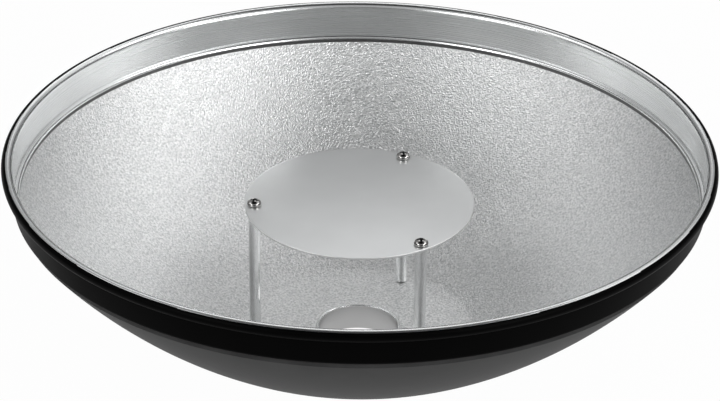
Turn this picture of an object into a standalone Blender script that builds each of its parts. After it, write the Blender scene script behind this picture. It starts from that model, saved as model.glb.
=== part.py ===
"""Beauty dish reflector for a bare-bulb flash head.

A shallow spun bowl carries a round deflector plate on three posts, so that the bulb at its centre lights
the bowl and not the sitter. Everything is turned about +Z: the open face looks up, and z = 0 is the rear
face of the mount collar, on which the dish stands. Heights are stacked from there to the rim.
"""

import math

import bmesh
import bpy
from mathutils import Matrix

# Clearance kept wherever two pieces touch or pass through each other
FIT = 0.0003

# Spun bowl: one sheet from the wired rim to the flat base
RIM_RADIUS = 0.150
BEAD_RADIUS = 0.0025
BEAD_SWEEP = math.radians(290)
SHEET = 0.001
BOWL_HEIGHT = 0.086
BAND_HEIGHT = 0.0135
LEDGE_WIDTH = 0.0019
STEP_DROP = 0.0027
BOWL_BULGE = 0.0075

# Deflector and its posts
DEFLECTOR_OVERHANG = 0.004
DEFLECTOR_THICKNESS = 0.001
DEFLECTOR_EDGE = 0.00015
POST_COUNT = 3
FIRST_POST_ANGLE = math.radians(65)
POST_CIRCLE = 0.0447
POST_WALL = 0.0007
POST_LENGTH = 0.0605
POST_CHAMFER = 0.00025
TAP_DEPTH = 0.007

# Pan-head screws with a cross recess: thread radius, head radius, head height
M3 = (0.0015, 0.0030, 0.0022)
M25 = (0.00125, 0.0024, 0.0017)
DEFLECTOR_SCREW_LENGTH = 0.006
BASE_SCREW_LENGTH = 0.008
WASHER_BRIM = 0.0005
WASHER_THICKNESS = 0.0005

# Mount plate behind the flat base
PLATE_THICKNESS = 0.0015
PLATE_MARGIN = 0.0005

# Mount collar: sleeve through the bowl, flange behind it, neck with bayonet lugs
BULB_HOLE_RADIUS = 0.0168
SLEEVE_WALL = 0.0008
LIP_WIDTH = 0.0016
LIP_HEIGHT = 0.0009
FLANGE_WIDTH = 0.0075
FLANGE_THICKNESS = 0.0015
NECK_LENGTH = 0.0079
NECK_BORE_STEP = 0.0027
NECK_WALL = 0.002
NECK_SHOULDER = 0.0015
LUG_COUNT = 3
LUG_HEIGHT = 0.0025
LUG_REACH = 0.0025
LUG_SETBACK = 0.0008
LUG_ANGLE = math.radians(24)
NOTCH_WIDTH = 0.003
NOTCH_DEPTH = 0.003
NOTCH_ANGLE = math.radians(-90)
COLLAR_SCREW_COUNT = 3
FIRST_COLLAR_SCREW_ANGLE = math.radians(60)

# Facets around each kind of round piece, and steps along the curved outlines
RIM_FACETS = 64
DISC_FACETS = 48
POST_FACETS = 12
WIRE_FACETS = 6
CURL_STEPS = 8
BOWL_STEPS = 8

# Heights of the stack, from the collar's rear face
FLANGE_REAR = NECK_LENGTH
PLATE_REAR = FLANGE_REAR + FLANGE_THICKNESS + FIT
BASE_REAR = PLATE_REAR + PLATE_THICKNESS + FIT
FLOOR = BASE_REAR + SHEET
POST_FOOT = FLOOR + FIT
DEFLECTOR_REAR = POST_FOOT + POST_LENGTH + FIT
DEFLECTOR_FRONT = DEFLECTOR_REAR + DEFLECTOR_THICKNESS
RIM_CENTRE = BASE_REAR + BOWL_HEIGHT

# Radii that follow from the pieces they hold
SCREW_HOLE_RADIUS = M3[0] + FIT
POST_RADIUS = SCREW_HOLE_RADIUS + POST_WALL
DEFLECTOR_RADIUS = POST_CIRCLE + DEFLECTOR_OVERHANG
WASHER_RADIUS = M3[1] + WASHER_BRIM
PLATE_RADIUS = POST_CIRCLE + WASHER_RADIUS + PLATE_MARGIN
BASE_RADIUS = PLATE_RADIUS + FIT
SLEEVE_RADIUS = BULB_HOLE_RADIUS + SLEEVE_WALL
SLEEVE_HOLE_RADIUS = SLEEVE_RADIUS + FIT
NECK_BORE_RADIUS = BULB_HOLE_RADIUS + NECK_BORE_STEP
NECK_RADIUS = NECK_BORE_RADIUS + NECK_WALL
FLANGE_RADIUS = NECK_RADIUS + FLANGE_WIDTH
COLLAR_SCREW_CIRCLE = NECK_RADIUS + FLANGE_WIDTH / 2


def clear_scene():
    for item in list(bpy.data.objects):
        bpy.data.objects.remove(item, do_unlink=True)


def paint(name, colour, roughness, metallic):
    material = bpy.data.materials.new(name)
    material.use_nodes = True
    shader = material.node_tree.nodes["Principled BSDF"]
    shader.inputs["Base Color"].default_value = (*colour, 1.0)
    shader.inputs["Roughness"].default_value = roughness
    shader.inputs["Metallic"].default_value = metallic
    return material


def add_node(name, mesh, material, location=(0.0, 0.0, 0.0), angle=0.0):
    piece = bpy.data.objects.new(name, mesh)
    bpy.context.scene.collection.objects.link(piece)
    piece.location = location
    piece.rotation_euler = (0.0, 0.0, angle)
    if not mesh.materials:
        mesh.materials.append(material)
    return piece


def finish_mesh(name, bm):
    bmesh.ops.remove_doubles(bm, verts=bm.verts, dist=1e-6)
    bmesh.ops.recalc_face_normals(bm, faces=bm.faces)
    mesh = bpy.data.meshes.new(name)
    bm.to_mesh(mesh)
    bm.free()
    mesh.shade_smooth()
    mesh.set_sharp_from_angle(angle=math.radians(30))
    return mesh


def lathe(name, outline, facets, closed=True):
    """Turn (radius, height) points about Z. An open outline starts and ends on the axis."""
    bm = bmesh.new()
    points = [bm.verts.new((radius, 0.0, height)) for radius, height in outline]
    pairs = list(zip(points, points[1:]))
    if closed:
        pairs.append((points[-1], points[0]))
    edges = [bm.edges.new(pair) for pair in pairs]
    bmesh.ops.spin(
        bm, geom=points + edges, cent=(0, 0, 0), axis=(0, 0, 1), dvec=(0, 0, 0),
        angle=math.tau, steps=facets, use_merge=True, use_duplicate=False,
    )
    return finish_mesh(name, bm)


def prism(bm, outline, low, high):
    """Add a closed prism over (x, y) points, between two heights."""
    face = bm.faces.new([bm.verts.new((x, y, low)) for x, y in outline])
    grown = bmesh.ops.extrude_face_region(bm, geom=[face])["geom"]
    risen = [item for item in grown if isinstance(item, bmesh.types.BMVert)]
    bmesh.ops.translate(bm, verts=risen, vec=(0, 0, high - low))


def around(count, first_angle):
    return [first_angle + math.tau * index / count for index in range(count)]


def polar(radius, angle):
    return radius * math.cos(angle), radius * math.sin(angle)


def combine(target, tool_name, tool_bm, operation):
    """Cut or join a tool to a piece with a live Boolean; the tool stays as a hidden wire guide."""
    tool = bpy.data.objects.new(tool_name, finish_mesh(tool_name, tool_bm))
    bpy.context.scene.collection.objects.link(tool)
    tool.hide_render = True
    tool.display_type = "WIRE"
    step = target.modifiers.new(tool_name, "BOOLEAN")
    step.operation = operation
    step.solver = "EXACT"
    step.object = tool
    return tool


def drill(target, radius, circle, angles, low, high):
    """Drill round holes on a circle, from one height to another."""
    bm = bmesh.new()
    for angle in angles:
        x, y = polar(circle, angle)
        turned = around(POST_FACETS, angle)
        prism(bm, [(x + polar(radius, t)[0], y + polar(radius, t)[1]) for t in turned], low, high)
    combine(target, f"{target.name}_holes_{round(circle * 1e4)}", bm, "DIFFERENCE")


def thicken(path, thickness):
    """Give an open path a wall: both offsets, mitred at the corners, as one closed outline."""
    sides = ([], [])
    for index, (x, y) in enumerate(path):
        before = path[max(index - 1, 0)]
        after = path[min(index + 1, len(path) - 1)]
        lengths = math.dist(before, (x, y)), math.dist((x, y), after)
        normals = []
        for (start, end), length in zip(((before, (x, y)), ((x, y), after)), lengths):
            if length:
                normals.append(((end[1] - start[1]) / length, (start[0] - end[0]) / length))
        normal = [sum(axis) / len(normals) for axis in zip(*normals)]
        mitre = thickness / 2 / (normal[0] ** 2 + normal[1] ** 2)
        for side, sign in zip(sides, (1, -1)):
            side.append((x + sign * mitre * normal[0], y + sign * mitre * normal[1]))
    return sides[0] + sides[1][::-1]


def arc(centre, radius, start, end, steps):
    return [
        (centre[0] + radius * math.cos(t), centre[1] + radius * math.sin(t))
        for t in (start + (end - start) * index / steps for index in range(steps + 1))
    ]


def bulged(start, end, bulge, steps):
    """Points along a circular arc from start to end that bows out to the right of that direction."""
    chord = math.dist(start, end)
    radius = (chord ** 2 / 4 + bulge ** 2) / (2 * bulge)
    heading = math.atan2(end[1] - start[1], end[0] - start[0])
    half = math.asin(chord / 2 / radius)
    middle = ((start[0] + end[0]) / 2, (start[1] + end[1]) / 2)
    inward = heading + math.pi / 2
    centre = (
        middle[0] + (radius - bulge) * math.cos(inward),
        middle[1] + (radius - bulge) * math.sin(inward),
    )
    return arc(centre, radius, inward + math.pi - half, inward + math.pi + half, steps)


def bowl_outline():
    """The sheet's centre line from the rolled edge, down the band and the bowl, to the collar hole."""
    curl_radius = BEAD_RADIUS - SHEET / 2
    bead_circle = RIM_RADIUS - BEAD_RADIUS
    curl = arc((bead_circle, RIM_CENTRE), curl_radius, math.pi - BEAD_SWEEP, math.pi, CURL_STEPS)
    band_radius = bead_circle - curl_radius
    ledge_height = RIM_CENTRE - BAND_HEIGHT
    shoulder_radius = band_radius - LEDGE_WIDTH
    floor_height = BASE_REAR + SHEET / 2
    bowl_top = (shoulder_radius, ledge_height - STEP_DROP)
    dish = bulged((BASE_RADIUS, floor_height), bowl_top, BOWL_BULGE, BOWL_STEPS)
    path = curl + [(band_radius, ledge_height), (shoulder_radius, ledge_height)]
    path += dish[::-1] + [(SLEEVE_HOLE_RADIUS, floor_height)]
    return thicken(path, SHEET)


def make_bowl():
    mesh = lathe("reflector_bowl", bowl_outline(), RIM_FACETS)
    material = paint("bowl", (0.62, 0.63, 0.63), 0.35, 1.0)
    bowl = add_node("reflector_bowl", mesh, material)
    angles = around(POST_COUNT, FIRST_POST_ANGLE)
    drill(bowl, SCREW_HOLE_RADIUS, POST_CIRCLE, angles, BASE_REAR - SHEET, FLOOR + SHEET)


def make_rim_wire():
    """Steel wire that the rim is rolled over."""
    wire_radius = BEAD_RADIUS - SHEET - FIT
    ring = arc((RIM_RADIUS - BEAD_RADIUS, RIM_CENTRE), wire_radius, 0.0, math.tau, WIRE_FACETS)[:-1]
    add_node("rim_wire", lathe("rim_wire", ring, RIM_FACETS), paint("wire", (0.4, 0.4, 0.4), 0.4, 1.0))


def make_deflector():
    edge, rear, front = DEFLECTOR_EDGE, DEFLECTOR_REAR, DEFLECTOR_FRONT
    outline = [
        (0.0, rear), (DEFLECTOR_RADIUS - edge, rear), (DEFLECTOR_RADIUS, rear + edge),
        (DEFLECTOR_RADIUS, front - edge), (DEFLECTOR_RADIUS - edge, front), (0.0, front),
    ]
    mesh = lathe("deflector_plate", outline, DISC_FACETS, closed=False)
    plate = add_node("deflector_plate", mesh, paint("deflector", (0.6, 0.61, 0.61), 0.4, 1.0))
    angles = around(POST_COUNT, FIRST_POST_ANGLE)
    drill(plate, SCREW_HOLE_RADIUS, POST_CIRCLE, angles, rear - SHEET, front + SHEET)


def post_mesh():
    """Round post, standing on z = 0, tapped from both ends."""
    tap = SCREW_HOLE_RADIUS
    half = [
        (0.0, TAP_DEPTH), (tap, TAP_DEPTH), (tap, 0.0), (POST_RADIUS - POST_CHAMFER, 0.0),
        (POST_RADIUS, POST_CHAMFER),
    ]
    outline = half + [(radius, POST_LENGTH - height) for radius, height in half[::-1]]
    return lathe("post", outline, POST_FACETS, closed=False)


def screw_mesh(name, size, length):
    """Pan-head screw: z = 0 is the head's seat, the shank points down, the recess opens upward."""
    thread, head, height = size
    point = thread * 0.2
    rim = height * 0.35
    dome = [(head * x, rim + (height - rim) * y) for x, y in arc((0.0, 0.0), 1.0, 0.0, math.pi / 2, 4)]
    outline = [(0.0, -length), (thread - point, -length), (thread, point - length), (thread, 0.0), (head, 0.0)]
    blank = add_node("screw_blank", lathe(name, outline + dome, POST_FACETS, closed=False), None)
    arm, slot = head * 0.58, head * 0.15
    cross = [(slot, slot), (slot, arm), (-slot, arm), (-slot, slot), (-arm, slot), (-arm, -slot)]
    cross += [(-x, -y) for x, y in cross]
    recess = bmesh.new()
    prism(recess, cross, height * 0.42, height * 1.5)
    tool = combine(blank, "cross_recess", recess, "DIFFERENCE")
    bpy.context.view_layer.update()
    cut = blank.evaluated_get(bpy.context.evaluated_depsgraph_get())
    bm = bmesh.new()
    bm.from_mesh(cut.to_mesh())
    bmesh.ops.dissolve_degenerate(bm, edges=bm.edges, dist=2e-6)
    bmesh.ops.triangulate(bm, faces=bm.faces)
    mesh = finish_mesh(name, bm)
    bpy.data.objects.remove(blank)
    bpy.data.objects.remove(tool)
    return mesh


def make_posts():
    """Three posts, each with a screw through the deflector and a screw and washer behind the base."""
    steel = paint("screw", (0.7, 0.7, 0.69), 0.3, 1.0)
    polished = paint("post", (0.75, 0.76, 0.76), 0.15, 1.0)
    zinc = paint("washer", (0.6, 0.6, 0.58), 0.35, 1.0)
    post = post_mesh()
    front_screw = screw_mesh("deflector_screw", M3, DEFLECTOR_SCREW_LENGTH)
    rear_screw = screw_mesh("post_base_screw", M3, BASE_SCREW_LENGTH)
    rear_screw.transform(Matrix.Rotation(math.pi, 4, "X"))
    hole = SCREW_HOLE_RADIUS
    ring = [(hole, 0.0), (WASHER_RADIUS, 0.0), (WASHER_RADIUS, WASHER_THICKNESS), (hole, WASHER_THICKNESS)]
    washer = lathe("washer", ring, POST_FACETS)
    washer_rear = PLATE_REAR - FIT - WASHER_THICKNESS
    for number, angle in enumerate(around(POST_COUNT, FIRST_POST_ANGLE), start=1):
        x, y = polar(POST_CIRCLE, angle)
        add_node(f"deflector_post_{number}", post, polished, (x, y, POST_FOOT), angle)
        add_node(f"deflector_screw_{number}", front_screw, steel, (x, y, DEFLECTOR_FRONT + FIT), angle)
        add_node(f"post_base_washer_{number}", washer, zinc, (x, y, washer_rear), angle)
        add_node(f"post_base_screw_{number}", rear_screw, steel, (x, y, washer_rear - FIT), angle)


def make_mount_plate():
    low, high = PLATE_REAR, PLATE_REAR + PLATE_THICKNESS
    outline = [(SLEEVE_HOLE_RADIUS, low), (PLATE_RADIUS, low), (PLATE_RADIUS, high), (SLEEVE_HOLE_RADIUS, high)]
    mesh = lathe("mount_plate", outline, DISC_FACETS)
    plate = add_node("mount_plate", mesh, paint("mount_plate", (0.03, 0.03, 0.03), 0.5, 0.0))
    posts = around(POST_COUNT, FIRST_POST_ANGLE)
    screws = around(COLLAR_SCREW_COUNT, FIRST_COLLAR_SCREW_ANGLE)
    drill(plate, SCREW_HOLE_RADIUS, POST_CIRCLE, posts, low - SHEET, high + SHEET)
    drill(plate, M25[0] + FIT, COLLAR_SCREW_CIRCLE, screws, low - SHEET, high + SHEET)


def collar_outline():
    """Neck bore, rear face, neck, flange, sleeve and the lip that is rolled over the bowl's hole."""
    lip_seat = FLOOR + FIT
    lip_centre = BULB_HOLE_RADIUS + LIP_WIDTH / 2
    crown = arc((0.0, 0.0), 1.0, 0.0, math.pi, 4)
    lip = [(lip_centre + LIP_WIDTH / 2 * x, lip_seat + LIP_HEIGHT * y) for x, y in crown]
    shoulder = FLANGE_REAR - NECK_SHOULDER
    flange_front = FLANGE_REAR + FLANGE_THICKNESS
    outline = [
        (NECK_BORE_RADIUS, 0.0), (NECK_RADIUS, 0.0), (NECK_RADIUS, FLANGE_REAR),
        (FLANGE_RADIUS, FLANGE_REAR), (FLANGE_RADIUS, flange_front), (SLEEVE_RADIUS, flange_front),
        (SLEEVE_RADIUS, lip_seat),
    ]
    return outline + lip + [(BULB_HOLE_RADIUS, shoulder), (NECK_BORE_RADIUS, shoulder)]


def make_collar():
    mesh = lathe("mount_collar", collar_outline(), DISC_FACETS)
    collar = add_node("mount_collar", mesh, paint("collar", (0.65, 0.65, 0.65), 0.25, 1.0))
    lugs = bmesh.new()
    inner, outer = NECK_RADIUS - NECK_WALL / 2, NECK_RADIUS + LUG_REACH
    for angle in around(LUG_COUNT, 0.0):
        start, end = angle - LUG_ANGLE / 2, angle + LUG_ANGLE / 2
        sector = arc((0.0, 0.0), outer, start, end, 4) + arc((0.0, 0.0), inner, end, start, 4)
        prism(lugs, sector, LUG_SETBACK, LUG_SETBACK + LUG_HEIGHT)
    combine(collar, "bayonet_lugs", lugs, "UNION")
    notch = bmesh.new()
    near, far, half = NECK_BORE_RADIUS - NECK_WALL, NECK_RADIUS + NECK_WALL, NOTCH_WIDTH / 2
    block = [(near, -half), (far, -half), (far, half), (near, half)]
    prism(notch, block, -NOTCH_DEPTH, NOTCH_DEPTH)
    bmesh.ops.rotate(notch, verts=notch.verts, cent=(0, 0, 0), matrix=Matrix.Rotation(NOTCH_ANGLE, 3, "Z"))
    combine(collar, "lock_notch", notch, "DIFFERENCE")
    screws = around(COLLAR_SCREW_COUNT, FIRST_COLLAR_SCREW_ANGLE)
    drill(collar, M25[0] + FIT, COLLAR_SCREW_CIRCLE, screws, FLANGE_REAR - SHEET, PLATE_REAR + SHEET)


def make_collar_screws():
    """Screws from behind that clamp the flange to the mount plate, stopping short of the bowl."""
    reach = FLANGE_THICKNESS + FIT + PLATE_THICKNESS
    screw = screw_mesh("collar_screw", M25, reach)
    screw.transform(Matrix.Rotation(math.pi, 4, "X"))
    steel = paint("collar_screw", (0.7, 0.7, 0.69), 0.3, 1.0)
    for number, angle in enumerate(around(COLLAR_SCREW_COUNT, FIRST_COLLAR_SCREW_ANGLE), start=1):
        x, y = polar(COLLAR_SCREW_CIRCLE, angle)
        add_node(f"collar_screw_{number}", screw, steel, (x, y, FLANGE_REAR - FIT), angle)


clear_scene()
make_bowl()
make_rim_wire()
make_deflector()
make_posts()
make_mount_plate()
make_collar()
make_collar_screws()
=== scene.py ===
# %% [markdown]
# # A beauty dish, finished for close viewing
#
# A beauty dish is a shallow spun bowl that softens a flash. A disc on three posts hides the bulb, and the
# pebbled silver bowl spreads its light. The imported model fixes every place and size, but its faces are
# coarse and bare. It could be subdivided as it stands, which would also soften edges that are sharp on the
# real dish. So this lesson turns finer pieces at the same places, and gives each one its metal's finish.

# %% Load the frame
import math

import bmesh
import bpy
from mathutils import Matrix, Vector


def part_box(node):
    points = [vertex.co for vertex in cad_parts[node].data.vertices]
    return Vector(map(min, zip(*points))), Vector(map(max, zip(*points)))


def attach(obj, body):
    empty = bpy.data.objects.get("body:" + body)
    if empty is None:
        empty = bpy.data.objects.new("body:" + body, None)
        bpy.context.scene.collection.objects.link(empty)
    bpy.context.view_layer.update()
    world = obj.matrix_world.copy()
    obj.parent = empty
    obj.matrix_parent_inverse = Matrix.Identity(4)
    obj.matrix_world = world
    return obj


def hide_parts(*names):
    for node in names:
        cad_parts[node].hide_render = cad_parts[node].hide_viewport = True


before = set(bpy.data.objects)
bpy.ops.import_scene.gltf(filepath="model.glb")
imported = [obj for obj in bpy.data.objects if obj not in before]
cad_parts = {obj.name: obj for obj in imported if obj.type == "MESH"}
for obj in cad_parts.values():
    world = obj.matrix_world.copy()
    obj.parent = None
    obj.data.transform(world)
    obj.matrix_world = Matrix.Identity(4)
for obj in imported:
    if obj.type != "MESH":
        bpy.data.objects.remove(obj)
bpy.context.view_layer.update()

# %% [markdown]
# ## Turning
#
# Nearly every piece here comes off a lathe, so its shape is a short outline in radius and height. A Screw
# modifier could sweep that outline too. The spin operator does it at once, on a mesh that later steps can
# cut and sort. An outline that touches the axis closes itself there, and one that doesn't is closed as a
# ring. Doubles are merged before the normals are made to point outwards.

# %% Outline and lathe helpers
def polar(radius, angle):
    return Vector((radius * math.cos(angle), radius * math.sin(angle), 0.0))


def arc(centre, radius, start, end, steps):
    """Points in the outline's plane along an arc, ends included."""
    turns = [start + (end - start) * index / steps for index in range(steps + 1)]
    return [(centre[0] + radius * math.cos(t), centre[1] + radius * math.sin(t)) for t in turns]


def new_piece(name, bm, material, sharp=35):
    """Make a bmesh an object at the origin, smooth apart from its sharp edges."""
    mesh = bpy.data.meshes.new(name)
    bm.to_mesh(mesh)
    bm.free()
    mesh.shade_smooth()
    mesh.set_sharp_from_angle(angle=math.radians(sharp))
    piece = bpy.data.objects.new(name, mesh)
    bpy.context.scene.collection.objects.link(piece)
    mesh.materials.append(material)
    return piece


def turned(outline, steps, ring=True):
    """Spin an outline of (radius, height) points into a closed bmesh."""
    bm = bmesh.new()
    points = [bm.verts.new((radius, 0.0, height)) for radius, height in outline]
    pairs = list(zip(points, points[1:])) + ([(points[-1], points[0])] if ring else [])
    edges = [bm.edges.new(pair) for pair in pairs]
    bmesh.ops.spin(
        bm, geom=points + edges, cent=(0, 0, 0), axis=(0, 0, 1), dvec=(0, 0, 0),
        angle=math.tau, steps=steps, use_merge=True, use_duplicate=False,
    )
    bmesh.ops.remove_doubles(bm, verts=bm.verts, dist=1e-6)
    bmesh.ops.recalc_face_normals(bm, faces=bm.faces)
    return bm


def stand_in(piece, slot, *nodes):
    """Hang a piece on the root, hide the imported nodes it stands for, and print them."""
    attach(piece, "root")
    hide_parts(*nodes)
    print(piece.name, len(piece.data.polygons), "faces, for", ", ".join(nodes))


# %% [markdown]
# ## Drilling and cutting
#
# Holes, notches and screw recesses are cut from solid pieces, as in a workshop. The hole could be left open
# while the face round it is built, but a Boolean keeps each cut to one line. The exact solver copes with
# faces that touch, and the result is read back at once, so no modifier stays on a piece.

# %% Drill and cut helpers
def cut_by(bm, tools):
    """Subtract closed tool shapes from a closed bmesh with an exact Boolean, applied at once."""
    holder = []
    for name, shape in (("blank", bm), ("tools", tools)):
        mesh = bpy.data.meshes.new(name)
        shape.to_mesh(mesh)
        shape.free()
        holder.append(bpy.data.objects.new(name, mesh))
        bpy.context.scene.collection.objects.link(holder[-1])
    blank, tool = holder
    step = blank.modifiers.new("cut", "BOOLEAN")
    step.object = tool
    step.solver = "EXACT"
    bpy.context.view_layer.update()
    result = bmesh.new()
    result.from_mesh(blank.evaluated_get(bpy.context.evaluated_depsgraph_get()).to_mesh())
    bpy.data.objects.remove(blank)
    bpy.data.objects.remove(tool)
    bmesh.ops.remove_doubles(result, verts=result.verts, dist=1e-6)
    return result


def drill_set(axes, radius, height, depth=0.006):
    """Upright drills on the given axes, centred on a height."""
    tools = bmesh.new()
    for axis in axes:
        bmesh.ops.create_cone(
            tools, cap_ends=True, segments=32, radius1=radius, radius2=radius, depth=depth,
            matrix=Matrix.Translation(Vector((axis.x, axis.y, height))),
        )
    return tools


# %% [markdown]
# ## Finishes
#
# Each metal differs mostly in its grain: how rough it is, and which way its marks run. Turned metal has
# rings, so its noise reads height and radius only. Pressed grain has no direction, so its noise reads the
# plain Object coordinates. Height goes to a Bump node, and a little noise varies the roughness, because
# real metal is never evenly smooth. A small class holds one material and keeps each recipe to a few lines.

# %% Material helpers
def add_node(tree, kind, links=None, **settings):
    """Add a node, set its sockets or properties by name, and link other outputs to its inputs."""
    made = tree.nodes.new(kind)
    for key, value in settings.items():
        if key in made.inputs:
            made.inputs[key].default_value = value
        else:
            setattr(made, key, value)
    for key, value in (links or {}).items():
        tree.links.new(value, made.inputs[key])
    return made


class Finish:
    """A Principled material, with short calls for the nodes that feed it."""

    def __init__(self, name, colour, metallic, roughness):
        self.material = bpy.data.materials.new(name)
        self.material.use_nodes = True
        self.tree = self.material.node_tree
        self.shader = self.tree.nodes["Principled BSDF"]
        self.shader.inputs["Base Color"].default_value = (*colour, 1.0)
        self.shader.inputs["Metallic"].default_value = metallic
        self.shader.inputs["Roughness"].default_value = roughness
        self.place = self.node("ShaderNodeTexCoord").outputs["Object"]

    def node(self, kind, links=None, **settings):
        return add_node(self.tree, kind, links, **settings)

    def math(self, operation, first, second=None, amount=None):
        made = self.node("ShaderNodeMath", {0: first}, operation=operation)
        if second is not None:
            self.tree.links.new(second, made.inputs[1])
        elif amount is not None:
            made.inputs[1].default_value = amount
        return made.outputs[0]

    def rings(self):
        """Coordinates that only know radius and height, so that a pattern runs round the axis."""
        split = self.node("ShaderNodeSeparateXYZ", {"Vector": self.place}).outputs
        squares = [self.math("MULTIPLY", split[axis], split[axis]) for axis in ("X", "Y")]
        radius = self.math("SQRT", self.math("ADD", *squares))
        return self.node("ShaderNodeCombineXYZ", {"X": radius, "Z": split["Z"]}).outputs[0]

    def noise(self, vector, scale, detail=2.0):
        made = self.node("ShaderNodeTexNoise", {"Vector": vector}, Scale=scale, Detail=detail, Roughness=0.5)
        return made.outputs["Fac"]

    def bump(self, height, distance, strength=1.0, after=None):
        links = {"Height": height}
        if after is not None:
            links["Normal"] = after
        return self.node("ShaderNodeBump", links, Distance=distance, Strength=strength).outputs["Normal"]

    def spread(self, value, low, high, socket):
        """Map a 0 to 1 noise on a range and feed it to a socket of the shader."""
        made = self.node("ShaderNodeMapRange", {"Value": value}, **{"To Min": low, "To Max": high})
        self.tree.links.new(made.outputs["Result"], self.shader.inputs[socket])

    def tint(self, value, dark, light):
        """Mix two colours by a noise, as the base colour."""
        made = self.node("ShaderNodeValToRGB", {"Fac": value})
        for stop, position, colour in zip(made.color_ramp.elements, (0.3, 0.7), (dark, light)):
            stop.position = position
            stop.color = (*colour, 1.0)
        self.tree.links.new(made.outputs["Color"], self.shader.inputs["Base Color"])

    def normal(self, vector):
        self.tree.links.new(vector, self.shader.inputs["Normal"])


# %% [markdown]
# ## Pebbled silver
#
# The bowl's inside has a fine pressed grain that scatters the flash. Real dents would need millions of
# faces, and a Voronoi pattern gives pits with hard rims. Two smooth noises, one finer than the other, bump
# the surface instead, and a third speckles the colour, because each dent shades its own floor.

# %% Pebbled silver of the bowl's inside
def pebbled_silver():
    silver = Finish("pebbled_silver", (0.80, 0.81, 0.81), 1.0, 0.42)
    pebbles = silver.noise(silver.place, 1700.0, detail=0.0)
    swells = silver.noise(silver.place, 900.0, detail=0.0)
    speckle = silver.noise(silver.place, 1100.0, detail=1.0)
    broad = silver.noise(silver.place, 60.0)
    silver.spread(broad, 0.38, 0.45, "Roughness")
    silver.tint(speckle, (0.60, 0.61, 0.61), (1.0, 1.0, 1.0))
    swollen = silver.bump(swells, 0.00012, 0.5)
    silver.normal(silver.bump(pebbles, 0.00034, 0.8, after=swollen))
    return silver.material


PEBBLE = pebbled_silver()
print("pebbled silver:", len(PEBBLE.node_tree.nodes), "nodes")

# %% [markdown]
# ## Spun silver
#
# The band and the bead are bare metal with fine rings left by the spinning tool. An anisotropic shader could
# stretch the highlights, but it needs a tangent on each piece. Rings of noise, worked out from height and
# radius, need nothing but the place. Darker and rougher copies of the recipe serve the collar, the bore
# inside it and the step under the ledge; on the bore and the step that darkness is painted shade.

# %% Spun and turned metal
def spun_silver(name="spun_silver", colour=(0.84, 0.85, 0.85), roughness=0.26):
    silver = Finish(name, colour, 1.0, roughness)
    lines = silver.noise(silver.rings(), 2600.0, detail=3.0)
    silver.spread(lines, roughness - 0.03, roughness + 0.05, "Roughness")
    wave = silver.noise(silver.place, 26.0)
    silver.tint(wave, [0.94 * part for part in colour], [1.04 * part for part in colour])
    silver.normal(silver.bump(lines, 0.00002, 0.15))
    return silver.material


SPUN = spun_silver()
TURNED = spun_silver("turned_collar", (0.66, 0.66, 0.66), 0.28)
# Painted shade: a much darker copy of the spun metal for the step under the ledge.
PAINTED_SHADE_STEP_METAL = spun_silver("step_painted_shade", (0.15, 0.15, 0.15), 0.35)
# Painted shade: a darker copy of the spun metal for the inside of the collar's bore.
BORE_SHADE_PAINT = spun_silver("collar_bore_painted_shade", (0.42, 0.42, 0.42), 0.4)
print("spun finishes:", [finish.name for finish in (SPUN, TURNED, PAINTED_SHADE_STEP_METAL, BORE_SHADE_PAINT)])

# %% [markdown]
# ## Satin disc
#
# The deflector is blasted to an even satin. A stamped disc is never quite flat, and the slow change of tone
# across it shows that. Bending the mesh would take it out of its seat, so the slight crown is only a bump:
# the squared distance from a point near the centre, turned upside down.

# %% Satin aluminium
CROWN_CENTRE = (0.02, -0.015)
CROWN = -0.7


def satin_disc():
    satin = Finish("satin_aluminium", (0.76, 0.77, 0.77), 1.0, 0.34)
    grain = satin.noise(satin.place, 2400.0, detail=3.0)
    satin.spread(grain, 0.32, 0.44, "Roughness")
    satin.tint(satin.noise(satin.place, 40.0), (0.74, 0.75, 0.75), (0.78, 0.79, 0.79))
    split = satin.node("ShaderNodeSeparateXYZ", {"Vector": satin.place}).outputs
    offset = [satin.math("ADD", split[axis], amount=-shift) for axis, shift in zip("XY", CROWN_CENTRE)]
    squared = satin.math("ADD", *[satin.math("MULTIPLY", part, part) for part in offset])
    crowned = satin.bump(satin.math("MULTIPLY", squared, amount=CROWN), 1.0, 1.0)
    satin.normal(satin.bump(grain, 0.00006, 0.4, after=crowned))
    return satin.material


SATIN = satin_disc()
print("satin crown centred on", CROWN_CENTRE)

# %% [markdown]
# ## Bright metals
#
# Posts, screws, washers and cut edges are plain metals that differ in colour and polish, so one recipe with
# three values makes them all. Each has faint marks in its roughness and height, since an even mirror looks
# like plastic. The bottom of a screw's recess is the same recipe, nearly black, as painted shade.

# %% Polished, plated and cut metal
def bright_metal(name, colour, roughness):
    bright = Finish(name, colour, 1.0, roughness)
    marks = bright.noise(bright.place, 1800.0)
    bright.spread(marks, roughness * 0.8, roughness * 1.5, "Roughness")
    bright.tint(bright.noise(bright.place, 300.0), [0.93 * part for part in colour], colour)
    bright.normal(bright.bump(marks, 0.00002, 0.25))
    return bright.material


POLISHED = bright_metal("polished_aluminium", (0.90, 0.91, 0.91), 0.06)
NICKEL = bright_metal("nickel_plate", (0.46, 0.45, 0.44), 0.16)
# Painted shade: the near-black finish at the bottom of each screw's cross recess.
RECESS_SHADE_PAINT = bright_metal("recess_painted_shade", (0.05, 0.05, 0.05), 0.5)
STEEL = bright_metal("drawn_steel", (0.50, 0.50, 0.50), 0.30)
CUT_EDGE = bright_metal("cut_edge", (0.95, 0.95, 0.95), 0.4)
print("bright finishes:", [finish.name for finish in (POLISHED, NICKEL, RECESS_SHADE_PAINT, STEEL, CUT_EDGE)])

# %% [markdown]
# ## Black paint
#
# The outside is sprayed. The band is a deep, almost matt black, and the bowl under it is a slightly paler
# one. Both get a little orange peel in the bump and some dust in the tone, and a low specular level keeps
# the white surroundings from greying them.

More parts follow.
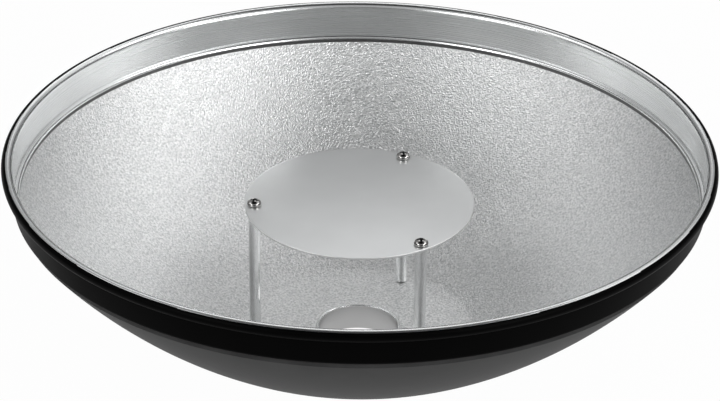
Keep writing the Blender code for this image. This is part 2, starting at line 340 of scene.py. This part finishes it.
# %% Black paint
def black_paint(name, colour, roughness, gloss):
    paint = Finish(name, colour, 0.0, roughness)
    paint.shader.inputs["Specular IOR Level"].default_value = gloss
    peel = paint.noise(paint.place, 900.0, detail=1.0)
    dust = paint.noise(paint.place, 70.0, detail=4.0)
    paint.spread(dust, roughness - 0.05, roughness + 0.08, "Roughness")
    paint.tint(dust, colour, [1.6 * part for part in colour])
    paint.normal(paint.bump(peel, 0.00005, 0.3))
    return paint.material


BAND_BLACK = black_paint("black_band_paint", (0.0004, 0.0004, 0.0004), 0.42, 0.02)
BOWL_BLACK = black_paint("black_bowl_paint", (0.025, 0.025, 0.025), 0.5, 0.055)
print("paints:", BAND_BLACK.name, BOWL_BLACK.name)

# %% [markdown]
# ## The bowl
#
# The bowl is one sheet of aluminium, 1 mm thick, spun over a former. From the rim inwards it has a bead
# rolled over a wire, an upright band, a ledge that can seat a grid, a small step down to where the pebbled
# part begins, the curved bowl, and a flat base with the bulb hole. A Solidify modifier could thicken one
# skin. Here one path down the sheet's middle is offset to both sides before the spin, so each skin can be
# checked and painted apart, and the two stay a sheet's thickness apart at the bead and the corners too.

# %% Measures of the bowl
SHEET = 0.001
GAP = 0.0003
bowl_low, bowl_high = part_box("reflector_bowl")
RIM_RADIUS = 0.150
BEAD_RADIUS = 0.0025
BAND_HEIGHT = 0.0135
BOW = 0.0075
bead_circle = RIM_RADIUS - BEAD_RADIUS
rim_centre = bowl_high.z - BEAD_RADIUS
base_rear = bowl_low.z
floor = base_rear + SHEET
band_radius = bead_circle - BEAD_RADIUS + SHEET / 2
ledge = rim_centre - BAND_HEIGHT
shoulder_radius = band_radius - 0.0019
bowl_top = (shoulder_radius, ledge - 0.0027)
base_edge = (0.049, base_rear + SHEET / 2)
HOLE_RADIUS = 0.0179
BASE_MIDDLE = 0.034
print("rim centre", round(rim_centre, 4), "floor", round(floor, 4))


# %% The sheet's middle path
def bulged(start, end, bulge, steps):
    """A circular arc between two points, bowed by bulge to the right of its direction."""
    chord = math.dist(start, end)
    radius = (chord ** 2 / 4 + bulge ** 2) / (2 * bulge)
    inward = math.atan2(end[1] - start[1], end[0] - start[0]) + math.pi / 2
    half = math.asin(chord / 2 / radius)
    centre = (
        (start[0] + end[0]) / 2 + (radius - bulge) * math.cos(inward),
        (start[1] + end[1]) / 2 + (radius - bulge) * math.sin(inward),
    )
    return arc(centre, radius, inward + math.pi - half, inward + math.pi + half, steps)


def rounded(path, radius, steps=3):
    """Ease the inner corners of a path with a short curve each, as a spun sheet has."""
    eased = [path[0]]
    for before, corner, after in zip(path, path[1:], path[2:]):
        before, corner, after = Vector(before), Vector(corner), Vector(after)
        into, out = before - corner, after - corner
        reach = min(radius, into.length * 0.45, out.length * 0.45)
        start, end = corner + into.normalized() * reach, corner + out.normalized() * reach
        for index in range(steps + 1):
            t = index / steps
            eased.append(tuple(start * (1 - t) ** 2 + corner * (2 * t * (1 - t)) + end * t ** 2))
    return eased + [path[-1]]


def both_skins(path, thickness):
    """Offset a path to both sides along its mean normals, as one closed outline."""
    near, far = [], []
    for index, point in enumerate(path):
        before, after = path[max(index - 1, 0)], path[min(index + 1, len(path) - 1)]
        run = (Vector(after) - Vector(before)).normalized()
        normal = Vector((run.y, -run.x)) * thickness / 2
        near.append((point[0] + normal.x, point[1] + normal.y))
        far.append((point[0] - normal.x, point[1] - normal.y))
    return near + far[::-1]


curl = arc((bead_circle, rim_centre), BEAD_RADIUS - SHEET / 2, math.radians(-110), math.pi, 58)
corner = rounded([curl[-1], (band_radius, ledge), (shoulder_radius, ledge), bowl_top], 0.0010)
dish = bulged(base_edge, bowl_top, BOW, 44)[::-1]
path = curl + corner[1:-1] + dish + [(BASE_MIDDLE, base_edge[1]), (HOLE_RADIUS, base_edge[1])]
bowl = turned(both_skins(path, SHEET), 288)
print("path points", len(path), "bowl faces", len(bowl.faces))

# %% [markdown]
# ## Where the silver stops
#
# The black paint is sprayed from outside and stops near the crest of the bead, about 11 degrees down its
# outer side. The edge shifts with the bearing: the black comes further in at the two far quarters, and
# more bare metal is left at the front. A mask texture could draw that line. It is simpler to sort the faces,
# since each one knows its place and the way it looks. Whatever looks inwards is bare, pebbled below the
# ledge and spun above it, apart from a darker step just under the ledge, where the pebbling stops: painted
# shade.

# %% Give the bowl's faces their finishes
PAINT_EDGE = math.radians(11)
PAINT_EDGE_SWING = math.radians(24)
PEBBLED, BARE, BAND, OUTSIDE, SHADED_STEP_SLOT = range(5)
pebbles_end = bowl_top[1] - 0.0004
step_low, step_high = bowl_top[1] + 0.0006, ledge - 0.0009
band_foot = ledge - 0.0006


def bowl_finish(face):
    """Choose a face's material slot by its place and the way it looks."""
    middle = face.calc_center_median()
    radius = math.hypot(middle.x, middle.y)
    outward = (face.normal.x * middle.x + face.normal.y * middle.y) / radius
    beside_bead = middle.z > rim_centre - BEAD_RADIUS * 1.1 and radius > band_radius + SHEET * 0.6
    over_bead = middle.z > rim_centre and radius > band_radius - SHEET
    if beside_bead or over_bead:
        lean = math.atan2(radius - bead_circle, middle.z - rim_centre)
        bearing = math.atan2(middle.y, middle.x)
        # The paint edge shifts with the bearing: further in at the far quarters, more bare metal at the
        # front.
        edge_shift = -abs(math.sin(2 * bearing)) if bearing > 0 else -math.sin(bearing)
        return BARE if lean < PAINT_EDGE + PAINT_EDGE_SWING * edge_shift else BAND
    if radius < shoulder_radius and face.normal.z > 0.05 and middle.z < pebbles_end:
        return PEBBLED
    # The step just under the ledge takes the darker metal, as painted shade.
    if outward < -0.5 and step_low < middle.z < step_high:
        return SHADED_STEP_SLOT
    if face.normal.z > 0.3 or outward < 0:
        return BARE
    return BAND if middle.z > band_foot else OUTSIDE


for face in bowl.faces:
    face.material_index = bowl_finish(face)
slots = [face.material_index for face in bowl.faces]
print("faces pebbled, bare, band, outside, step:", [slots.count(slot) for slot in range(5)])
dish_piece = new_piece("bowl_shell", bowl, PEBBLE)
for extra in (SPUN, BAND_BLACK, BOWL_BLACK, PAINTED_SHADE_STEP_METAL):
    dish_piece.data.materials.append(extra)
stand_in(dish_piece, "bowl", "reflector_bowl")

# %% [markdown]
# ## Deflector disc
#
# The disc is stamped from sheet, and its cut edge is broken with a small radius that catches a bright line.
# A cylinder with a Bevel modifier would do. Turned from an outline, it also gets a ring of faces just inside
# the edge, so that the smooth shading of the edge can't spread across the flat. Three clearance holes take
# the screws.

# %% Deflector
post_boxes = [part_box(f"deflector_post_{n}") for n in (1, 2, 3)]
post_axes = [Vector(((a.x + b.x) / 2, (a.y + b.y) / 2, 0.0)) for a, b in post_boxes]
disc_low, disc_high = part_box("deflector_plate")
DISC_RADIUS = 0.0487
EDGE = 0.00025
SCREW_HOLE = 0.0018
side = arc((DISC_RADIUS - EDGE, disc_low.z + EDGE), EDGE, -math.pi / 2, 0, 3)
side += arc((DISC_RADIUS - EDGE, disc_high.z - EDGE), EDGE, 0, math.pi / 2, 3)
inside = DISC_RADIUS - 3 * EDGE
outline = [(0.0, disc_low.z), (inside, disc_low.z)] + side + [(inside, disc_high.z), (0.0, disc_high.z)]
disc = turned(outline, 192, ring=False)
disc = cut_by(disc, drill_set(post_axes, SCREW_HOLE, disc_high.z, depth=0.004))
for face in disc.faces:
    face.material_index = int(abs(face.normal.z) < 0.99 and face.calc_center_median().xy.length > inside)
disc_piece = new_piece("deflector_disc", disc, SATIN)
disc_piece.data.materials.append(CUT_EDGE)
stand_in(disc_piece, "deflector", "deflector_plate")

# %% [markdown]
# ## Posts
#
# Each post is a length of polished round bar, tapped from both ends, with a small chamfer at each end. One
# outline runs up the axis of the lower hole, out over the bar and back down the upper hole, so the holes
# need no Boolean. It is turned at the origin and then moved to its place in the mesh.

# %% Posts
POST_RADIUS = 0.0025
CHAMFER = 0.0003
TAP_RADIUS = 0.0018
TAP_DEPTH = 0.007
for number, (axis, (low, high)) in enumerate(zip(post_axes, post_boxes), start=1):
    foot, top = low.z, high.z
    end = [(0.0, TAP_DEPTH), (TAP_RADIUS, TAP_DEPTH), (TAP_RADIUS, 0.0), (POST_RADIUS - CHAMFER, 0.0),
           (POST_RADIUS, CHAMFER)]
    outline = [(r, foot + z) for r, z in end] + [(r, top - z) for r, z in end[::-1]]
    post = turned(outline, 48, ring=False)
    bmesh.ops.translate(post, verts=post.verts, vec=axis)
    stand_in(new_piece(f"post_bar_{number}", post, POLISHED), "post", f"deflector_post_{number}")

# %% [markdown]
# ## Screws
#
# A pan head is a low dome on a short cylinder. The cross recess could be two crossed blocks, but a real one
# narrows downwards, so the cutter is one flat cross that is extruded upwards and opened out on the way. The
# thread is plain rings, not a helix, which is enough where a screw's end shows. Faces inside the recess are
# told from the dome by their height and get the near-black finish, which is painted shade.

# %% Cutter for the cross recess
ARM, SLOT = 0.3, 0.09
RECESS_FLOOR, MOUTH_RISE, MOUTH_GROWTH = 0.35, 0.75, 2.1


def cross_cutter(head, height):
    """A cross in parts of the head's radius, extruded upwards and opened out on the way."""
    arm, slot = head * ARM, head * SLOT
    quarter = [(slot, slot), (slot, arm), (-slot, arm)]
    turns = [Matrix.Rotation(math.pi / 2 * index, 2) for index in range(4)]
    outline = [turn @ Vector(point) for turn in turns for point in quarter]
    cross = bmesh.new()
    face = cross.faces.new([cross.verts.new((x, y, height * RECESS_FLOOR)) for x, y in outline])
    grown = bmesh.ops.extrude_face_region(cross, geom=[face])["geom"]
    mouth = [item for item in grown if isinstance(item, bmesh.types.BMVert)]
    bmesh.ops.scale(cross, verts=mouth, vec=(MOUTH_GROWTH, MOUTH_GROWTH, 1.0))
    bmesh.ops.translate(cross, verts=mouth, vec=(0, 0, height * MOUTH_RISE))
    bmesh.ops.recalc_face_normals(cross, faces=cross.faces)
    return cross


# %% Screw maker
BRIM = 0.3
ROOT = 0.88


def screw(thread, head, height, length):
    """A pan-head screw seated at z = 0, pointing down."""
    pitch = thread / 3
    shank = [(0.0, -length), (thread * 0.8, -length)]
    for index in range(int((length - pitch) / pitch)):
        bottom = -length + pitch * (index + 0.5)
        shank += [(thread, bottom), (thread * ROOT, bottom + pitch / 2)]
    brim = height * BRIM
    crown = [(head * x, brim + (height - brim) * y) for x, y in arc((0, 0), 1.0, 0, math.pi / 2, 8)]
    blank = turned(shank + [(thread, 0.0), (head * 0.96, 0.0)] + crown, 40, ring=False)
    shape = cut_by(blank, cross_cutter(head, height))
    # Faces inside the recess get the near-black finish, which is painted shade.
    for face in shape.faces:
        middle = face.calc_center_median()
        dome = brim + (height - brim) * math.sqrt(max(0.0, 1 - (middle.xy.length / head) ** 2))
        face.material_index = int(brim < middle.z < dome - height * 0.04)
    return shape


# %% Place the screws
TURN_BY_PLACE = 900.0


def place_screw(name, node, size, slot, from_behind):
    low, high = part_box(node)
    thread, head, height = size
    shape = screw(thread, head, height, (high.z - low.z) - height)
    if from_behind:
        bmesh.ops.rotate(shape, verts=shape.verts, cent=(0, 0, 0), matrix=Matrix.Rotation(math.pi, 3, "X"))
    seat = low.z + height if from_behind else high.z - height
    turn = Matrix.Rotation(low.x * TURN_BY_PLACE, 3, "Z")
    bmesh.ops.rotate(shape, verts=shape.verts, cent=(0, 0, 0), matrix=turn)
    bmesh.ops.translate(shape, verts=shape.verts, vec=((low.x + high.x) / 2, (low.y + high.y) / 2, seat))
    piece = new_piece(name, shape, NICKEL)
    piece.data.materials.append(RECESS_SHADE_PAINT)
    stand_in(piece, slot, node)


M3 = (0.0015, 0.0030, 0.0022)
M25 = (0.00125, 0.0024, 0.0017)
for number in (1, 2, 3):
    place_screw(f"disc_screw_{number}", f"deflector_screw_{number}", M3, "screw", False)
    place_screw(f"base_screw_{number}", f"post_base_screw_{number}", M3, "screw", True)
    place_screw(f"flange_screw_{number}", f"collar_screw_{number}", M25, "screw", True)

# %% [markdown]
# ## Washers
#
# A stamped washer is a flat ring with eased outer edges, so four straight runs and two small slopes are its
# whole outline.

# %% Washers
WASHER_RADIUS = 0.0035
for number in (1, 2, 3):
    low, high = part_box(f"post_base_washer_{number}")
    inner, outer, ease = TAP_RADIUS, WASHER_RADIUS, 0.0001
    outline = [(inner, low.z), (outer - ease, low.z), (outer, low.z + ease), (outer, high.z - ease),
               (outer - ease, high.z), (inner, high.z)]
    washer = turned(outline, 48)
    bmesh.ops.translate(washer, verts=washer.verts, vec=post_axes[number - 1])
    stand_in(new_piece(f"base_washer_{number}", washer, STEEL), "screw", f"post_base_washer_{number}")

# %% [markdown]
# ## Mount plate
#
# Behind the thin base sits a black stiffening plate, so that the screws have something to pull on. It is a
# turned ring, drilled through for the post screws and the collar screws.

# %% Mount plate
plate_low, plate_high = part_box("mount_plate")
screw_boxes = [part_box(f"collar_screw_{n}") for n in (1, 2, 3)]
screw_axes = [Vector(((a.x + b.x) / 2, (a.y + b.y) / 2, 0.0)) for a, b in screw_boxes]
PLATE_RADIUS = 0.0487
COLLAR_SCREW_HOLE = 0.00155
ease = 0.0002
outline = [
    (HOLE_RADIUS, plate_low.z), (PLATE_RADIUS - ease, plate_low.z), (PLATE_RADIUS, plate_low.z + ease),
    (PLATE_RADIUS, plate_high.z - ease), (PLATE_RADIUS - ease, plate_high.z), (HOLE_RADIUS, plate_high.z),
]
plate = cut_by(turned(outline, 144), drill_set(post_axes, TAP_RADIUS, plate_low.z))
plate = cut_by(plate, drill_set(screw_axes, COLLAR_SCREW_HOLE, plate_low.z))
stand_in(new_piece("stiffening_plate", plate, BAND_BLACK), "mount_plate", "mount_plate")

# %% [markdown]
# ## Collar
#
# The collar is turned from bar in one piece: its sleeve passes through the bowl and is rolled over inside
# as a bright lip, its flange is screwed to the plate, and its neck fits the flash head. A Boolean union of
# rings would leave seams, and one outline leaves none. The bore is left rougher than the outside and painted
# darker, as painted shade inside the hole, and the lock notch is cut from the neck's rear edge.

# %% Collar
NECK_BORE = 0.0195
NECK_RADIUS = 0.0215
SLEEVE_BORE = 0.0168
SLEEVE_RADIUS = 0.0176
FLANGE_RADIUS = 0.029
FLANGE_REAR = 0.0079
FLANGE_FRONT = FLANGE_REAR + 0.0015
NECK_FLOOR = FLANGE_REAR - 0.0015
NOTCH_BLOCK = (0.003, 0.008, 0.006)
lip_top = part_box("mount_collar")[1].z
lip_seat = floor + GAP
lip_half = SLEEVE_RADIUS - SLEEVE_BORE
lip_middle = SLEEVE_BORE + lip_half
unit_arc = arc((0, 0), 1, 0, math.pi, 10)
lip = [(lip_middle + lip_half * x, lip_seat + (lip_top - lip_seat) * y) for x, y in unit_arc]
ease = 0.0003
outline = [
    (NECK_BORE + ease, 0.0), (NECK_RADIUS - ease, 0.0), (NECK_RADIUS, ease), (NECK_RADIUS, FLANGE_REAR),
    (FLANGE_RADIUS - ease, FLANGE_REAR), (FLANGE_RADIUS, FLANGE_REAR + ease), (FLANGE_RADIUS, FLANGE_FRONT),
    (SLEEVE_RADIUS, FLANGE_FRONT), (SLEEVE_RADIUS, lip_seat),
] + lip + [(SLEEVE_BORE, NECK_FLOOR), (NECK_BORE, NECK_FLOOR), (NECK_BORE, ease)]
collar = turned(outline, 144)
notch = bmesh.new()
block = bmesh.ops.create_cube(notch, size=1.0)["verts"]
bmesh.ops.scale(notch, verts=block, vec=NOTCH_BLOCK)
bmesh.ops.translate(notch, verts=block, vec=(0, -(NECK_BORE + NECK_RADIUS) / 2, 0))
collar = cut_by(cut_by(collar, notch), drill_set(screw_axes, COLLAR_SCREW_HOLE, FLANGE_REAR))
# The lip gets the spun finish, and the bore the darker one, as painted shade inside the hole.
for face in collar.faces:
    middle = face.calc_center_median()
    if middle.z > lip_seat + 0.0001:
        face.material_index = 1
    elif middle.xy.length < NECK_BORE + 0.0001 and abs(face.normal.z) < 0.5:
        face.material_index = 2
collar_piece = new_piece("neck_collar", collar, TURNED)
for extra in (SPUN, BORE_SHADE_PAINT):
    collar_piece.data.materials.append(extra)
stand_in(collar_piece, "collar", "mount_collar")

# %% [markdown]
# ## Bayonet lugs
#
# Three short lugs on the neck slide behind the ring of the flash head. Each is a slice of a ring, so one
# rectangle in radius and height is extruded and turned in small steps, and starts just inside the neck.

# %% Bayonet lugs
LUG_ANGLE = math.radians(24)
LUG_REAR, LUG_FRONT, LUG_RADIUS = 0.0008, 0.0033, 0.024
LUG_ROOT = NECK_RADIUS - 0.00005
LUG_STEPS = 8
for number in (1, 2, 3):
    middle = math.tau * (number - 1) / 3
    sector = bmesh.new()
    corners = [(LUG_ROOT, LUG_REAR), (LUG_RADIUS, LUG_REAR), (LUG_RADIUS, LUG_FRONT), (LUG_ROOT, LUG_FRONT)]
    points = [polar(radius, middle - LUG_ANGLE / 2) + Vector((0, 0, height)) for radius, height in corners]
    ends = [sector.faces.new([sector.verts.new(point) for point in points])]
    for _ in range(LUG_STEPS):
        grown = bmesh.ops.extrude_face_region(sector, geom=ends)["geom"]
        ends = [item for item in grown if isinstance(item, bmesh.types.BMFace)]
        moved = [item for item in grown if isinstance(item, bmesh.types.BMVert)]
        turn = Matrix.Rotation(LUG_ANGLE / LUG_STEPS, 3, "Z")
        bmesh.ops.rotate(sector, verts=moved, cent=(0, 0, 0), matrix=turn)
    bmesh.ops.recalc_face_normals(sector, faces=sector.faces)
    lug = new_piece(f"bayonet_lug_{number}", sector, TURNED)
    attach(lug, "root")
    print(lug.name, len(lug.data.polygons), "faces")

# %% [markdown]
# ## Rim wire
#
# The bead is rolled over a steel wire that keeps the rim round. It is hidden inside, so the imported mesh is
# fine enough as it is, and only its finish is set.

# %% Rim wire
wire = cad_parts["rim_wire"].data
wire.materials.clear()
wire.materials.append(STEEL)
print("rim wire in", STEEL.name)

# %% [markdown]
# ## Floor
#
# The dish lies on its back on a pale floor. A floor that is only lit comes out grey, so for camera and glossy
# rays it glows nearly white, and the little that isn't glow keeps the shadow under the dish.

# %% Floor
FLOOR_GLOW = 0.975
floor_bm = bmesh.new()
bmesh.ops.create_grid(floor_bm, x_segments=1, y_segments=1, size=6.0)
ground = Finish("pale_floor", (0.86, 0.86, 0.86), 0.0, 0.8)
ground.tint(ground.noise(ground.place, 3.0), (0.85, 0.85, 0.85), (0.87, 0.87, 0.87))
rays = ground.node("ShaderNodeLightPath").outputs
seen = ground.math("MAXIMUM", rays["Is Camera Ray"], rays["Is Glossy Ray"])
glow = ground.node("ShaderNodeEmission", Color=(1, 1, 1, 1), Strength=1.0)
share = ground.math("MULTIPLY", seen, amount=FLOOR_GLOW)
blend = ground.node("ShaderNodeMixShader", {0: share, 1: ground.shader.outputs[0], 2: glow.outputs[0]})
output = ground.tree.nodes["Material Output"]
ground.tree.links.new(blend.outputs[0], output.inputs["Surface"])
floor_piece = new_piece("pale_floor", floor_bm, ground.material)
print("floor", tuple(round(size, 1) for size in floor_piece.dimensions))

# %% [markdown]
# ## Room
#
# Bare metal shows whatever is round it. An even white room would make it flat, so the room is dark up to
# just above the horizon, grey over a wide middle and dark again straight above, and the metal gets its
# greys from that. The ramp reads only how steeply a direction rises. The camera itself sees plain white.

# %% Room
world = bpy.data.worlds.new("studio")
bpy.context.scene.world = world
world.use_nodes = True
world.node_tree.nodes.clear()


def room_node(kind, links=None, **settings):
    return add_node(world.node_tree, kind, links, **settings)


direction = room_node("ShaderNodeTexCoord").outputs["Generated"]
rise = room_node("ShaderNodeSeparateXYZ", {"Vector": direction}).outputs["Z"]
level = room_node("ShaderNodeValToRGB", {"Fac": rise})
level.color_ramp.interpolation = "EASE"
ROOM_LEVELS = [(0.15, 0.0), (0.35, 0.29), (0.5, 0.29), (0.7, 0.46), (0.8, 0.46), (0.92, 0.0)]
while len(level.color_ramp.elements) < len(ROOM_LEVELS):
    level.color_ramp.elements.new(1.0)
for stop, (height, strength) in zip(level.color_ramp.elements, ROOM_LEVELS):
    stop.position = height
    stop.color = (strength, strength, strength, 1.0)
room = room_node("ShaderNodeBackground", {"Strength": level.outputs["Color"]}, Color=(0.98, 0.99, 1.0, 1))
white = room_node("ShaderNodeBackground", Color=(1, 1, 1, 1), Strength=1.0)
camera_ray = room_node("ShaderNodeLightPath").outputs["Is Camera Ray"]
mix = room_node("ShaderNodeMixShader", {0: camera_ray, 1: room.outputs[0], 2: white.outputs[0]})
room_node("ShaderNodeOutputWorld", {"Surface": mix.outputs[0]})
print("room", len(ROOM_LEVELS), "levels, brightest", max(strength for _, strength in ROOM_LEVELS))

# %% [markdown]
# ## Lamps
#
# A dish lights itself: a lamp on one side brightens the far wall of the bowl. One big key would leave one
# wall black, so six round soft lamps stand about the dish. Four look down into it from 45 degrees, strongest
# from the right, and two stand low at the front and reach the far wall and the black outside.

# %% Lamps
LAMP_SIZE = 0.7
LAMP_DISTANCE = 1.4
middle_of_dish = Vector((0.0, 0.0, 0.05))


def lamp_at(name, azimuth, elevation, power):
    """A lamp on a sphere round the dish, by its bearing from +X and its height in degrees."""
    lamp = bpy.data.lights.new(name, "AREA")
    lamp.shape = "DISK"
    lamp.size = LAMP_SIZE
    lamp.energy = power
    lamp_object = bpy.data.objects.new(name, lamp)
    bpy.context.scene.collection.objects.link(lamp_object)
    level_part = polar(math.cos(math.radians(elevation)), math.radians(azimuth))
    outwards = level_part + Vector((0, 0, math.sin(math.radians(elevation))))
    lamp_object.location = middle_of_dish + outwards * LAMP_DISTANCE
    lamp_object.rotation_euler = (-outwards).to_track_quat("-Z", "Y").to_euler()
    print(name, round(power, 1), "W")


lamp_at("key_right", 0, 45, 3.6)
lamp_at("back_right", 45, 45, 0.7)
lamp_at("back", 90, 45, 1.1)
lamp_at("left", 180, 45, 1.9)
lamp_at("low_left", 225, 20, 7.0)
lamp_at("low_right", 315, 20, 9.0)

# %% [markdown]
# ## Camera
#
# The view looks down on the rim from about 28 degrees, from 1.2 m away, with a long lens. A wide lens from
# nearer would swell the front of the rim. The camera aims a little below the rim, which leaves room for the
# bowl under it, and leans by a fraction of a degree.

# %% Camera
DISTANCE = 1.2
ELEVATION = math.radians(27.62)
AIM_BELOW_RIM = 0.0224
LEAN = math.radians(0.63)
LENS = 142.7
camera = bpy.data.objects.new("camera", bpy.data.cameras.new("camera"))
bpy.context.scene.collection.objects.link(camera)
camera.data.sensor_width = 36.0
camera.data.lens = LENS
camera.location = (0.0, -DISTANCE * math.cos(ELEVATION), rim_centre + DISTANCE * math.sin(ELEVATION))
aim = Vector((0.0002, 0.0, rim_centre - AIM_BELOW_RIM)) - camera.location
camera.rotation_mode = "QUATERNION"
camera.rotation_quaternion = aim.to_track_quat("-Z", "Y") @ Matrix.Rotation(LEAN, 4, "Z").to_quaternion()
bpy.context.scene.camera = camera
bpy.context.scene.view_settings.view_transform = "Standard"
print("camera at", tuple(round(x, 3) for x in camera.location))
